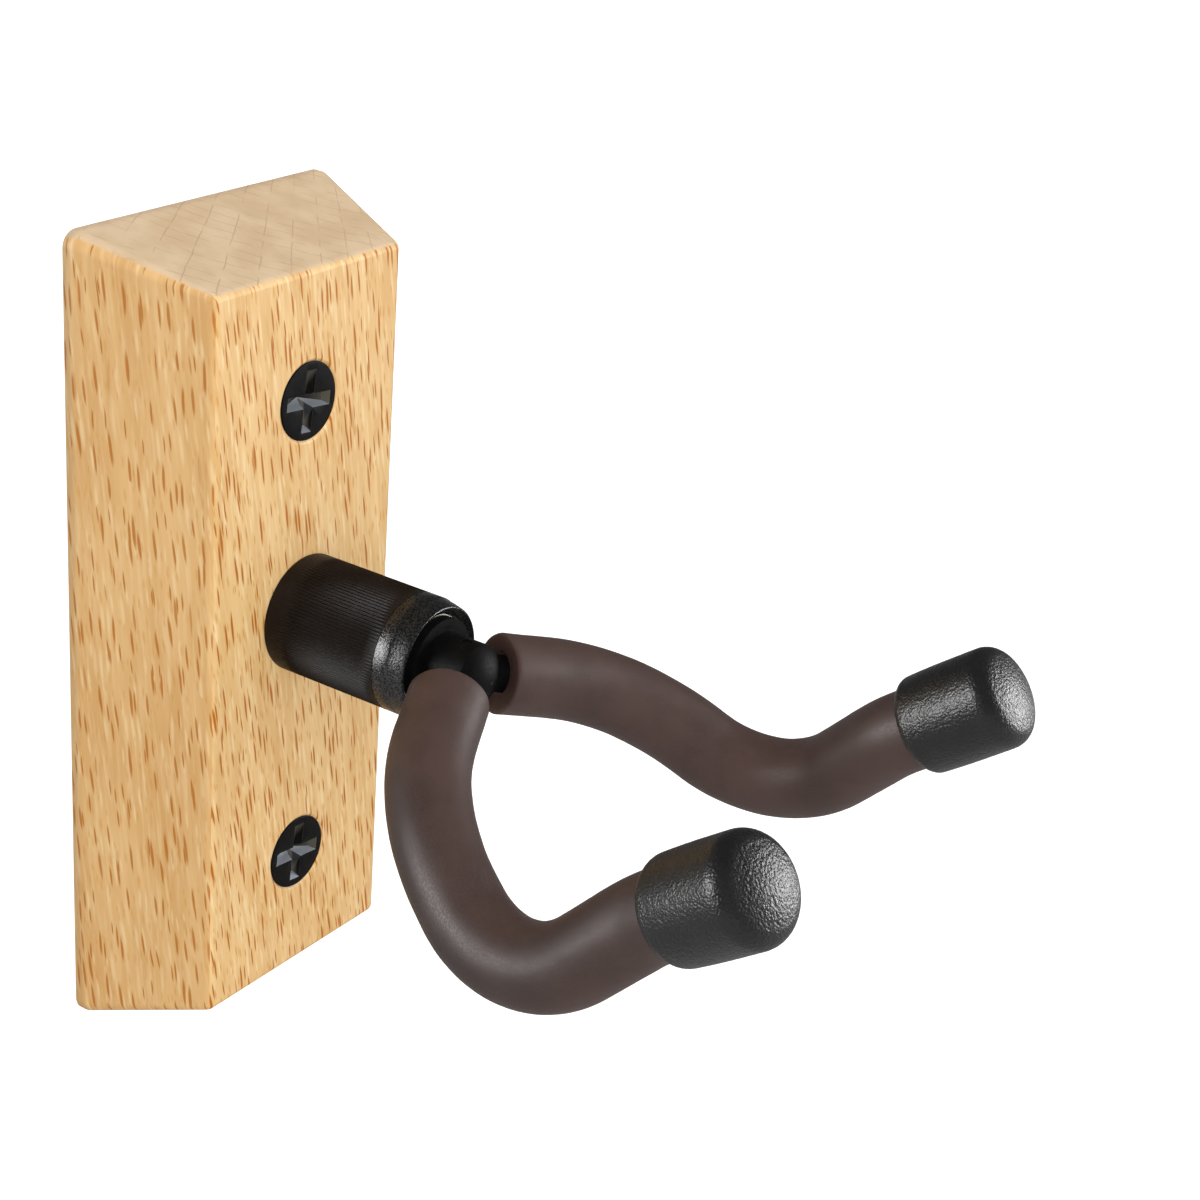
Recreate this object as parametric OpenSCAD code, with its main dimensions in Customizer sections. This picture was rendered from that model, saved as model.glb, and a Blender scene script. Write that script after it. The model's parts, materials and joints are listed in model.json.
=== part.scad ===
// Wall guitar hanger: a tapered wooden block fixed to the wall with two screws,
// and a padded yoke that swivels in a ribbed housing on the front of the block.
// Millimetres. The wall is the plane y = 0, the front of the hanger faces -Y, Z is up.

/* [Wooden block] */
// Width of the front face
block_front_width = 57; // [45:1:80]
// Height of the front face
block_front_height = 164; // [120:1:200]
// Thickness from the wall to the front face
block_thickness = 31; // [24:0.5:40]
// How much further out each side reaches at the wall
block_side_slope = 10; // [2:0.5:14]
// How much further out the top and the bottom reach at the wall
block_end_slope = 8; // [2:0.5:14]
// Depth of the straight band next to the wall
block_back_band = 2.5; // [1:0.5:5]
// Width of the flats that break the edges of the front face
block_edge_flat = 1; // [0.5:0.1:2]

/* [Wall screws] */
// Distance between the two screws
screw_spacing = 107; // [80:1:130]
// Diameter of the countersunk heads
screw_head_diameter = 17; // [12:0.5:18]
// Diameter of the smooth shank inside the block
screw_shank_diameter = 6.5; // [5:0.1:7]
// Width of the arms of the cross recess in the heads
screw_recess_width = 2.6; // [2:0.1:3]
// Span of the cross recess in the heads
screw_recess_span = 13; // [8:0.5:13.5]
// Core diameter of the threaded end that goes into the wall
screw_core_diameter = 4.8; // [4:0.1:5.5]
// How far the screws stand out of the back of the block
screw_reach = 24; // [15:1:40]

/* [Swivel housing] */
// Height of the swivel axis above the middle of the block
axis_height = 6; // [0:1:20]
// Outside diameter of the housing
housing_diameter = 26; // [24:0.5:34]
// Length of the housing and its collar in front of the block
housing_length = 36.5; // [34:0.5:40]
// Length of the collar at the front of the housing
collar_length = 7.5; // [6:0.5:9]
// Number of ribs round the housing
rib_count = 108; // [60:4:120]
// Height of the ribs
rib_height = 0.3; // [0.2:0.05:0.6]
// Diameter of the spindle
spindle_diameter = 8; // [7:0.5:9]
// How far the yoke swivels each way
swivel_angle = 30; // [10:1:35]

/* [Yoke] */
// Distance from the wall to the middle of the spindle head
yoke_depth = 72.5; // [72:0.5:74]
// Diameter of the steel rod
rod_diameter = 8; // [7:0.5:9]
// Outside diameter of the padded sleeves
sleeve_diameter = 17; // [14:0.5:18]
// Distance between each sleeve's open end and the middle of the spindle head
sleeve_gap = 9.3; // [9.2:0.1:12]
// Half the spacing of the arms where they start to run forward
shoulder_spread = 36; // [32:0.5:42]
// How far the arms have dropped at the shoulder
shoulder_drop = 10.5; // [5:0.5:15]
// How far the shoulder is in front of the spindle head
shoulder_reach = 17; // [15:0.5:25]
// Half the spacing of the arms at the lowest corner
dip_spread = 49.5; // [42:0.5:52]
// How far the lowest corner is below the axis
dip_drop = 32.5; // [25:1:36]
// How far the lowest corner is in front of the spindle head
dip_reach = 51.5; // [46:0.5:53]
// Half the spacing of the arms where they flatten towards the tips
crook_spread = 46; // [44:0.5:50]
// How far the crooks are below the axis
crook_drop = 5.5; // [3:0.5:8]
// How far the crooks are in front of the spindle head
crook_reach = 77.5; // [75:0.5:79]
// Half the spacing of the tips
tip_spread = 48.5; // [46:0.5:54]
// How far the tips are above the axis
tip_rise = 12.5; // [8:0.5:16]
// How far the tips are in front of the spindle head
tip_reach = 101.5; // [99:0.5:104]
// Bend radius at the shoulder
shoulder_radius = 51; // [25:1:52]
// Bend radius at the dip
dip_radius = 24; // [18:1:26]
// Bend radius at the crook
crook_radius = 28; // [20:1:32]
// Diameter of the end caps
cap_diameter = 21.5; // [20:0.5:25]
// Length of the end caps
cap_length = 23.5; // [20:0.5:24]

/* [Hidden] */
housing_radius = housing_diameter / 2;
housing_front = block_thickness + housing_length;
collar_back = housing_front - collar_length;
seat_depth = housing_front - 3;
spigot_depth = block_thickness - 5;
spigot_radius = 10;
spindle_radius = spindle_diameter / 2;
running_gap = 0.05;
bush_radius = 5.75;
bush_length = 10;
washer_thickness = 1;
counterbore_radius = 12.5;
counterbore_depth = 14;
flange_back = seat_depth + washer_thickness + running_gap;
flange_thickness = 2.4;
flange_radius = 9.7;
recess_radius = 10.2;
neck_radius = 7;
head_radius = 8.5;
stop_pin_radius = 1;
stop_pin_offset = 7.2;
slot_half_angle = swivel_angle + asin(stop_pin_radius / stop_pin_offset) + 0.6;
washer_back = counterbore_depth - 1.5;
spring_back = washer_back - 1.5;
nut_front = spring_back - running_gap;
nut_height = 8;
nut_width = 13;
dowel_radius = 1.5;
dowel_offset = 8;
rod_radius = rod_diameter / 2;
sleeve_radius = sleeve_diameter / 2;
sleeve_bore = rod_radius + 0.1;
cap_radius = cap_diameter / 2;
cap_wall = 7;
cap_lip = 1.2;
cap_rounding = 4;
rod_end_gap = 4;
hub_radius = 12;
screw_head_radius = screw_head_diameter / 2;
screw_hole_radius = screw_shank_diameter / 2 + 0.35;
screw_head_sink = 0.2;
screw_head_land = 0.3;
screw_recess_depth = 4.5;
screw_recess_turn = 6;
seam_step = 0.02;
seam_lap = 0.4;

// Corners of the right arm's centre line, as across, up and away from the wall
head_point = [0, 0, yoke_depth];
shoulder_point = [shoulder_spread, -shoulder_drop, yoke_depth + shoulder_reach];
dip_point = [dip_spread, -dip_drop, yoke_depth + dip_reach];
crook_point = [crook_spread, -crook_drop, yoke_depth + crook_reach];
tip_point = [tip_spread, tip_rise, yoke_depth + tip_reach];

function unit(v) = v / norm(v);
function tidy(x) = round(x * 1000) / 1000;
function turn(a, b) = tidy(acos(a * b));
function corner_length(radius, angle) = radius * tan(angle / 2);
// Direction that points away from the middle of a bend, before it and after it
function outward_before(way_in, way_out) = cross(way_in, unit(cross(way_in, way_out)));
function outward_after(way_in, way_out) = cross(way_out, unit(cross(way_in, way_out)));
// Angle about a bar from one side direction to another
function roll_angle(way, side, target) = atan2(target * cross(way, side), target * side);
function rolled(way, side, angle) = side * cos(angle) + cross(way, side) * sin(angle);

out_way = unit(shoulder_point - head_point);
down_way = unit(dip_point - shoulder_point);
up_way = unit(crook_point - dip_point);
tip_way = unit(tip_point - crook_point);
across_way = [1, 0, 0];
hub_tilt = tidy(atan2(shoulder_drop, shoulder_reach));
hub_angle = turn(across_way, out_way);
shoulder_angle = turn(out_way, down_way);
dip_angle = turn(down_way, up_way);
crook_angle = turn(up_way, tip_way);
hub_length = hub_radius * tan(hub_angle);
hub_rise = hub_radius / cos(hub_angle) - hub_radius;
shoulder_length = corner_length(shoulder_radius, shoulder_angle);
dip_length = corner_length(dip_radius, dip_angle);
crook_length = corner_length(crook_radius, crook_angle);
first_length = tidy(norm(shoulder_point - head_point) - hub_length - shoulder_length);
second_length = tidy(norm(dip_point - shoulder_point) - shoulder_length - dip_length);
third_length = tidy(norm(crook_point - dip_point) - dip_length - crook_length);
last_length = tidy(norm(tip_point - crook_point) - crook_length);
first_side = outward_after(across_way, out_way);
shoulder_side = outward_before(out_way, down_way);
shoulder_roll = tidy(roll_angle(out_way, first_side, shoulder_side));
second_side = rolled(down_way, outward_after(out_way, down_way), -shoulder_roll);
dip_roll = tidy(roll_angle(down_way, second_side, outward_before(down_way, up_way)));
third_side = rolled(up_way, outward_after(down_way, up_way), -dip_roll);
crook_roll = tidy(roll_angle(up_way, third_side, outward_before(up_way, tip_way)));

$fn = 96;

// Turns a child so that its Z axis runs straight out of the wall along the swivel axis
module on_axis(depth) {
  translate([0, -depth, axis_height])
    rotate([90, 0, 0])
      children();
}

// Turns a child so that its Z axis runs out of the wall at the middle of the block
module from_wall(height) {
  translate([0, 0, height])
    rotate([90, 0, 0])
      children();
}

// Round bar bent through an angle. It starts along Z and bends away from X.
module bent_bar(bend_radius, angle, radius) {
  translate([-bend_radius, 0, 0])
    rotate([90, 0, 0])
      rotate_extrude(angle = angle)
        translate([bend_radius, 0])
          circle(r = radius);
}

// Straight round bar, a hair thinner than the bends it runs into at either end
module straight_bar(from, to, radius) {
  translate([0, 0, from])
    cylinder(h = to - from, r = radius - seam_step);
}

// Moves a child from the start of a bend to its end
module after_bend(bend_radius, angle) {
  translate([-bend_radius, 0, 0])
    rotate([0, -angle, 0])
      translate([bend_radius, 0, 0])
        children();
}

// The places along the right arm, each with its Z axis along the rod
module at_hub_bend() {
  translate([0, -hub_rise * sin(hub_tilt), yoke_depth + hub_rise * cos(hub_tilt)])
    rotate([hub_tilt, 0, 0])
      rotate([0, 90, 0])
        children();
}

module at_first_straight() {
  at_hub_bend()
    after_bend(hub_radius, hub_angle)
      children();
}

module at_shoulder() {
  at_first_straight()
    translate([0, 0, first_length])
      rotate([0, 0, shoulder_roll])
        children();
}

module at_second_straight() {
  at_shoulder()
    after_bend(shoulder_radius, shoulder_angle)
      rotate([0, 0, -shoulder_roll])
        children();
}

module at_dip() {
  at_second_straight()
    translate([0, 0, second_length])
      rotate([0, 0, dip_roll])
        children();
}

module at_third_straight() {
  at_dip()
    after_bend(dip_radius, dip_angle)
      rotate([0, 0, -dip_roll])
        children();
}

module at_crook() {
  at_third_straight()
    translate([0, 0, third_length])
      rotate([0, 0, crook_roll])
        children();
}

module at_last_straight() {
  at_crook()
    after_bend(crook_radius, crook_angle)
      rotate([0, 0, -crook_roll])
        children();
}

// The right arm as a round bar, from a point on its first straight to short of the tip
module arm_bar(radius, start, end_gap) {
  at_first_straight()
    straight_bar(start, first_length + seam_lap, radius);
  at_shoulder()
    bent_bar(shoulder_radius, shoulder_angle, radius);
  at_second_straight()
    straight_bar(-seam_lap, second_length + seam_lap, radius);
  at_dip()
    bent_bar(dip_radius, dip_angle, radius);
  at_third_straight()
    straight_bar(-seam_lap, third_length + seam_lap, radius);
  at_crook()
    bent_bar(crook_radius, crook_angle, radius);
  at_last_straight()
    straight_bar(-seam_lap, last_length - end_gap, radius);
}

// The whole rod, from tip to tip through the spindle head
module whole_rod(radius) {
  at_hub_bend()
    after_bend(hub_radius, -hub_angle)
      bent_bar(hub_radius, 2 * hub_angle, radius);
  arm_bar(radius, -seam_lap, rod_end_gap);
  mirror([1, 0, 0])
    arm_bar(radius, -seam_lap, rod_end_gap);
}

// Outline of the block seen along one of its edges, from the wall to the front face
module tapered_outline(front, slope) {
  half_front = front / 2;
  half_back = half_front + slope;
  polygon([[-half_back, 0],
           [half_back, 0],
           [half_back, -block_back_band],
           [half_front, -block_thickness + block_edge_flat],
           [half_front - block_edge_flat, -block_thickness],
           [-half_front + block_edge_flat, -block_thickness],
           [-half_front, -block_thickness + block_edge_flat],
           [-half_back, -block_back_band]]);
}

module tapered_block() {
  intersection() {
    translate([0, 0, -200])
      linear_extrude(height = 400)
        tapered_outline(block_front_width, block_side_slope);
    rotate([0, 90, 0])
      translate([0, 0, -200])
        linear_extrude(height = 400)
          tapered_outline(block_front_height, block_end_slope);
  }
}

module base_block() {
  color([0.86, 0.69, 0.45])
    difference() {
      tapered_block();
      on_axis(-1)
        cylinder(h = counterbore_depth + 1, r = counterbore_radius);
      on_axis(counterbore_depth - 1)
        cylinder(h = block_thickness, r = 5.5);
      on_axis(spigot_depth)
        cylinder(h = 10, r = spigot_radius);
      for (side = [-1, 1])
        on_axis(spigot_depth - 6)
          translate([side * dowel_offset, 0, 0])
            cylinder(h = 7, r = dowel_radius);
      for (end = [-1, 1]) {
        from_wall(end * screw_spacing / 2)
          translate([0, 0, -1])
            cylinder(h = block_thickness + 2, r = screw_hole_radius);
        from_wall(end * screw_spacing / 2)
          translate([0, 0, block_thickness - screw_head_radius - 0.55])
            cylinder(h = screw_head_radius + 0.55, r1 = 0, r2 = screw_head_radius + 0.55);
      }
    }
}

// Cross recess in a screw head, with its mouth at z = 0
module cross_recess() {
  reach = screw_recess_span / 2;
  mouth_over = 0.2;
  intersection() {
    translate([0, 0, -screw_recess_depth])
      cylinder(h = screw_recess_depth + mouth_over, r1 = 1, r2 = reach + mouth_over);
    for (turn = [0, 90])
      rotate([0, 0, turn])
        translate([-reach - 1, -screw_recess_width / 2, -screw_recess_depth])
          cube([2 * reach + 2, screw_recess_width, screw_recess_depth + 1]);
  }
}

module mounting_screw(height) {
  head_top = block_thickness - screw_head_sink;
  cone_top = head_top - screw_head_land;
  cone_height = screw_head_radius - screw_shank_diameter / 2;
  color([0.09, 0.09, 0.1])
    from_wall(height)
      difference() {
        union() {
          translate([0, 0, cone_top])
            cylinder(h = screw_head_land, r = screw_head_radius);
          translate([0, 0, cone_top - cone_height])
            cylinder(h = cone_height, r1 = screw_shank_diameter / 2, r2 = screw_head_radius);
          translate([0, 0, 0.3])
            cylinder(h = cone_top - cone_height - 0.3, r = screw_shank_diameter / 2);
          translate([0, 0, 5 - screw_reach])
            cylinder(h = screw_reach - 4.7, r = screw_core_diameter / 2);
          translate([0, 0, -screw_reach])
            cylinder(h = 5, r1 = 0.4, r2 = screw_core_diameter / 2);
        }
        translate([0, 0, head_top])
          rotate([0, 0, -screw_recess_turn])
            cross_recess();
      }
}

module upper_mounting_screw() {
  mounting_screw(screw_spacing / 2);
}

module lower_mounting_screw() {
  mounting_screw(-screw_spacing / 2);
}

// Ribbed outline of the housing: two points on the crest and two in the groove for every rib
function rib_point(i) =
  let (angle = i * 90 / rib_count,
       radius = housing_radius - ((i % 4 < 2) ? 0.05 : rib_height))
  [radius * cos(angle), radius * sin(angle)];

module swivel_housing() {
  color([0.1, 0.1, 0.1])
    difference() {
      union() {
        on_axis(spigot_depth)
          cylinder(h = 6, r = spigot_radius);
        on_axis(block_thickness)
          cylinder(h = 4, r = housing_radius);
        on_axis(block_thickness + 3)
          linear_extrude(height = collar_back - block_thickness - 3)
            polygon([for (i = [0 : 4 * rib_count - 1]) rib_point(i)]);
        on_axis(collar_back - 1)
          cylinder(h = seat_depth - collar_back + 1, r = 11);
      }
      on_axis(spigot_depth - 1)
        cylinder(h = 60, r = 5.2);
      on_axis(spigot_depth - 1)
        cylinder(h = bush_length + 1, r = bush_radius);
      on_axis(seat_depth - bush_length)
        cylinder(h = bush_length + 1, r = bush_radius);
      on_axis(seat_depth - 6)
        translate([0, stop_pin_offset, 0])
          cylinder(h = 7, r = stop_pin_radius);
      for (side = [-1, 1])
        on_axis(spigot_depth - 1)
          translate([side * dowel_offset, 0, 0])
            cylinder(h = 15, r = dowel_radius);
    }
}

module front_collar() {
  color([0.13, 0.13, 0.13])
    difference() {
      union() {
        on_axis(collar_back)
          cylinder(h = 3.5, r = housing_radius);
        on_axis(collar_back + 3.5)
          cylinder(h = collar_length - 3.5, r1 = housing_radius, r2 = housing_radius - 0.8);
      }
      on_axis(collar_back - 1)
        cylinder(h = seat_depth - collar_back + 1, r = 11);
      on_axis(seat_depth - 1)
        cylinder(h = 6, r = recess_radius);
      on_axis(housing_front - 1.2)
        cylinder(h = 2.4, r1 = recess_radius, r2 = recess_radius + 2.4);
    }
}

module locating_pins() {
  color([0.6, 0.61, 0.63])
    for (side = [-1, 1])
      on_axis(spigot_depth - 6)
        translate([side * dowel_offset, 0, 0])
          cylinder(h = 20, r = dowel_radius);
}

module bush(depth) {
  on_axis(depth)
    difference() {
      cylinder(h = bush_length, r = bush_radius);
      translate([0, 0, -1])
        cylinder(h = bush_length + 2, r = spindle_radius + running_gap);
    }
}

module rear_bush() {
  color([0.72, 0.56, 0.3])
    bush(spigot_depth);
}

module front_bush() {
  color([0.72, 0.56, 0.3])
    bush(seat_depth - bush_length);
}

module thrust_washer() {
  color([0.85, 0.85, 0.82])
    on_axis(seat_depth)
      difference() {
        cylinder(h = washer_thickness, r = flange_radius + 0.2);
        translate([0, 0, -1])
          cylinder(h = 3, r = spindle_radius + 0.1);
        translate([0, stop_pin_offset, -1])
          cylinder(h = 3, r = stop_pin_radius);
      }
}

module stop_pin() {
  color([0.6, 0.61, 0.63])
    on_axis(seat_depth - 6)
      translate([0, stop_pin_offset, 0])
        cylinder(h = 8.8, r = stop_pin_radius);
}

module plain_washer() {
  color([0.7, 0.71, 0.72])
    on_axis(washer_back)
      difference() {
        cylinder(h = 1.5, r = 10);
        translate([0, 0, -1])
          cylinder(h = 4, r = spindle_radius + 0.3);
      }
}

// Shallow cone with a flat rim at each face
module disc_spring() {
  color([0.5, 0.51, 0.53])
    on_axis(spring_back)
      rotate_extrude()
        polygon([[spindle_radius + 0.4, 0],
                 [spindle_radius + 1.2, 0],
                 [9, 0.8],
                 [9, 1.5],
                 [8.2, 1.5],
                 [spindle_radius + 0.4, 0.7]]);
}

// Curved slot in the spindle's flange that the stop pin runs in
module stop_slot() {
  rotate([0, 0, 90 - slot_half_angle])
    rotate_extrude(angle = 2 * slot_half_angle)
      translate([stop_pin_offset - stop_pin_radius - 0.1, -0.5])
        square([2 * stop_pin_radius + 0.2, flange_thickness + 0.5]);
}

module pivot_spindle() {
  color([0.08, 0.08, 0.09])
    difference() {
      union() {
        on_axis(2)
          cylinder(h = flange_back, r = spindle_radius);
        on_axis(flange_back)
          difference() {
            cylinder(h = flange_thickness, r = flange_radius);
            stop_slot();
          }
        on_axis(flange_back + flange_thickness)
          cylinder(h = yoke_depth - flange_back - flange_thickness, r = neck_radius);
        on_axis(yoke_depth)
          rotate_extrude()
            intersection() {
              circle(r = head_radius);
              square([neck_radius, head_radius]);
            }
      }
      on_axis(0)
        whole_rod(rod_radius);
      on_axis(yoke_depth + 1.6)
        rotate([90, 0, 0])
          translate([0, 0, -12])
            cylinder(h = 24, r = 1.25);
    }
}

module rod_pin() {
  color([0.55, 0.56, 0.58])
    on_axis(yoke_depth + 1.6)
      rotate([90, 0, 0])
        translate([0, 0, -neck_radius + 0.3])
          cylinder(h = 2 * neck_radius - 0.6, r = 1.25);
}

module lock_nut() {
  color([0.65, 0.66, 0.68])
    difference() {
      intersection() {
        on_axis(nut_front - nut_height)
          rotate([0, 0, 30])
            linear_extrude(height = nut_height)
              circle(r = nut_width / sqrt(3), $fn = 6);
        on_axis(nut_front - nut_height)
          cylinder(h = nut_height, r1 = nut_width / 2 + 0.4, r2 = nut_width / 2 + 6);
      }
      on_axis(nut_front - nut_height - 1)
        cylinder(h = nut_height + 2, r = spindle_radius);
      on_axis(nut_front - nut_height - 1)
        cylinder(h = 3, r = spindle_radius + 1.2);
    }
}

module nut_insert() {
  color([0.2, 0.35, 0.75])
    on_axis(nut_front - nut_height + 0.3)
      difference() {
        cylinder(h = 1.7, r = spindle_radius + 1.2);
        translate([0, 0, -1])
          cylinder(h = 4, r = spindle_radius);
      }
}

module yoke_rod() {
  color([0.1, 0.1, 0.1])
    difference() {
      on_axis(0)
        whole_rod(rod_radius);
      on_axis(yoke_depth + 1.6)
        rotate([90, 0, 0])
          translate([0, 0, -12])
            cylinder(h = 24, r = 1.25);
    }
}

module foam_sleeve() {
  start = tidy(sleeve_gap - hub_length);
  difference() {
    arm_bar(sleeve_radius, start, cap_wall);
    arm_bar(sleeve_bore, start - 1, cap_wall - 2);
  }
}

module left_foam_sleeve() {
  color([0.32, 0.27, 0.26])
    on_axis(0)
      mirror([1, 0, 0])
        foam_sleeve();
}

module right_foam_sleeve() {
  color([0.32, 0.27, 0.26])
    on_axis(0)
      foam_sleeve();
}

// Half section of an end cap without its bores, with the mouth at the bottom
module cap_profile() {
  square([cap_radius - cap_lip, cap_length - cap_rounding]);
  translate([0, cap_lip])
    square([cap_radius, cap_length - cap_rounding - cap_lip]);
  translate([cap_radius - cap_lip, cap_lip])
    circle(r = cap_lip);
  translate([cap_radius - cap_rounding, cap_length - cap_rounding])
    circle(r = cap_rounding);
  square([cap_radius - cap_rounding, cap_length]);
}

module end_cap() {
  at_last_straight()
    translate([0, 0, last_length - cap_length])
      difference() {
        rotate_extrude()
          cap_profile();
        translate([0, 0, -1])
          cylinder(h = cap_length - cap_wall + 1, r = sleeve_radius);
        cylinder(h = cap_length - rod_end_gap, r = rod_radius);
      }
}

module left_end_cap() {
  color([0.16, 0.16, 0.16])
    on_axis(0)
      mirror([1, 0, 0])
        end_cap();
}

module right_end_cap() {
  color([0.16, 0.16, 0.16])
    on_axis(0)
      end_cap();
}

base_block();
upper_mounting_screw();
lower_mounting_screw();
swivel_housing();
front_collar();
locating_pins();
rear_bush();
front_bush();
thrust_washer();
stop_pin();
plain_washer();
disc_spring();
pivot_spindle();
rod_pin();
lock_nut();
nut_insert();
yoke_rod();
left_foam_sleeve();
right_foam_sleeve();
left_end_cap();
right_end_cap();
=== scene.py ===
"""Looks of the wall guitar hanger: beech block, black swivel housing, foam-covered yoke and rubber caps."""
import json
import math

import bmesh
import bpy
from mathutils import Matrix, Vector, noise


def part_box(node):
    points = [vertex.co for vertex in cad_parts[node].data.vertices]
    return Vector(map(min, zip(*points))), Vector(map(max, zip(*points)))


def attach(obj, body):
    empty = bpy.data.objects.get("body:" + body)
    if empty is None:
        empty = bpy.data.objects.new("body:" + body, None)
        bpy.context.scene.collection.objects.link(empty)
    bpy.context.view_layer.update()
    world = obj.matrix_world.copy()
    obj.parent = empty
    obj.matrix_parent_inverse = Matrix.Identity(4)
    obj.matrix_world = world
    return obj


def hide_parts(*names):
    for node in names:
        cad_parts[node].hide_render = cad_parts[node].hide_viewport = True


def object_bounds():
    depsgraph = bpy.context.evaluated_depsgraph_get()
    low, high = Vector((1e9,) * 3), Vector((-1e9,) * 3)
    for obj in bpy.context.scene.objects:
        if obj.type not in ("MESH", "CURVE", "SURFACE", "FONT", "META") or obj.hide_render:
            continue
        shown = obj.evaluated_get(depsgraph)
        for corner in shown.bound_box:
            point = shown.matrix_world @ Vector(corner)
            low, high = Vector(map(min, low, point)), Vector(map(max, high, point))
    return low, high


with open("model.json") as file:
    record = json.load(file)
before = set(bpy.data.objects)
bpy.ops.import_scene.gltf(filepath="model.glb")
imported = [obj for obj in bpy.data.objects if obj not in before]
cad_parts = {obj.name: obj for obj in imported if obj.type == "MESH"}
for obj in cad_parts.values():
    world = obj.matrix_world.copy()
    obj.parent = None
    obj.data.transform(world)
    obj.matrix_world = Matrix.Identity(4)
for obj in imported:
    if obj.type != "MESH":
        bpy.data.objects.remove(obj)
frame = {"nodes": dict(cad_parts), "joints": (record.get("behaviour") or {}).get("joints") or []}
cad_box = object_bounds()
scene = bpy.context.scene
MM = 0.001

# Sizes shared with the CAD design, in metres. The arm's corners are across, up and out from the spindle head.
SWIVEL = Vector(frame["joints"][0]["pos_m"])
YOKE_DEPTH = -SWIVEL.y
HUB_RADIUS = 12 * MM
SHOULDER = Vector((36, -10.5, 17)) * MM
DIP = Vector((49.5, -32.5, 51.5)) * MM
CROOK = Vector((46, -5.5, 77.5)) * MM
TIP = Vector((48.5, 12.5, 101.5)) * MM
SHOULDER_RADIUS = 51 * MM
DIP_RADIUS = 24 * MM
CROOK_RADIUS = 28 * MM
SLEEVE_RADIUS = 8.5 * MM
SLEEVE_BORE = 4.3 * MM
SLEEVE_GAP = 9.3 * MM
CAP_LENGTH = 23.5 * MM
CAP_RADIUS = 10.75 * MM
CAP_WALL = 7 * MM
ROD_RADIUS = 4 * MM
RIBS = 108
RIB_HEIGHT = 0.3 * MM
SPIGOT_RADIUS = 10 * MM
SPIGOT_LENGTH = 5 * MM
NOSE_RADIUS = 11 * MM
BUSH_RADIUS = 5.75 * MM
BUSH_LENGTH = 10 * MM
SCREW_HEAD_RADIUS = 8.5 * MM
SCREW_SHANK_RADIUS = 3.25 * MM
SCREW_CORE_RADIUS = 2.4 * MM
RECESS_REACH = 6.95 * MM


# ---------------------------------------------------------------- mesh helpers

def mesh_object(name, points, faces):
    mesh = bpy.data.meshes.new(name)
    mesh.from_pydata(points, [], faces)
    shape = bmesh.new()
    shape.from_mesh(mesh)
    bmesh.ops.recalc_face_normals(shape, faces=shape.faces)
    shape.to_mesh(mesh)
    shape.free()
    obj = bpy.data.objects.new(name, mesh)
    scene.collection.objects.link(obj)
    return obj


def turned(name, profile, axis, segments=96, shape=None):
    """Surface turned round an axis that may bend. profile is a list of (radius, distance along the axis),
    and axis(distance) gives the frame there. Where the radius is 0 the ring closes to a point.
    shape(radius, distance, angle), if given, returns each point's own radius."""
    points, rings, faces = [], [], []
    for radius, along in profile:
        at = axis(along)
        if radius == 0:
            rings.append([len(points)])
            points.append(at @ Vector((0, 0, 0)))
            continue
        rings.append(list(range(len(points), len(points) + segments)))
        for k in range(segments):
            angle = 2 * math.pi * k / segments
            reach = shape(radius, along, angle) if shape else radius
            points.append(at @ Vector((reach * math.cos(angle), reach * math.sin(angle), 0)))
    closed = profile[0][0] != 0 and profile[-1][0] != 0
    pairs = list(zip(rings, rings[1:])) + ([(rings[-1], rings[0])] if closed else [])
    for low, high in pairs:
        for k in range(segments):
            after = (k + 1) % segments
            if len(low) == 1:
                faces.append((low[0], high[after], high[k]))
            elif len(high) == 1:
                faces.append((low[k], low[after], high[0]))
            else:
                faces.append((low[k], low[after], high[after], high[k]))
    return mesh_object(name, points, faces)


def straight_axis(place):
    return lambda along: place @ Matrix.Translation((0, 0, along))


def arc(centre, radius, start, end, steps):
    """Points (radius, along) on an arc in the profile plane. Angles in degrees, from the radius direction."""
    angles = [math.radians(start + (end - start) * k / steps) for k in range(steps + 1)]
    return [(centre[0] + radius * math.cos(a), centre[1] + radius * math.sin(a)) for a in angles]


def finish_shading(obj, angle):
    obj.data.shade_smooth()
    obj.data.set_sharp_from_angle(angle=math.radians(angle))


def apply_modifiers(obj):
    bpy.context.view_layer.update()
    ready = obj.evaluated_get(bpy.context.evaluated_depsgraph_get())
    mesh = bpy.data.meshes.new_from_object(ready)
    obj.modifiers.clear()
    obj.data = mesh


def cut(obj, *cutters):
    """Subtracts the cutters from obj and deletes them."""
    for cutter in cutters:
        step = obj.modifiers.new("cut", "BOOLEAN")
        step.operation = "DIFFERENCE"
        step.solver = "EXACT"
        step.object = cutter
    apply_modifiers(obj)
    for cutter in cutters:
        bpy.data.objects.remove(cutter)


def out_of_wall(height):
    """Frame whose Z axis runs straight out of the wall, at a height."""
    return Matrix.Translation((0, 0, height)) @ Matrix.Rotation(math.pi / 2, 4, "X")


# ---------------------------------------------------------------- the arm's centre line

def turn_angle(before, after):
    return math.acos(before.dot(after))


def roll_angle(way, side, target):
    return math.atan2(target.dot(way.cross(side)), target.dot(side))


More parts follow.
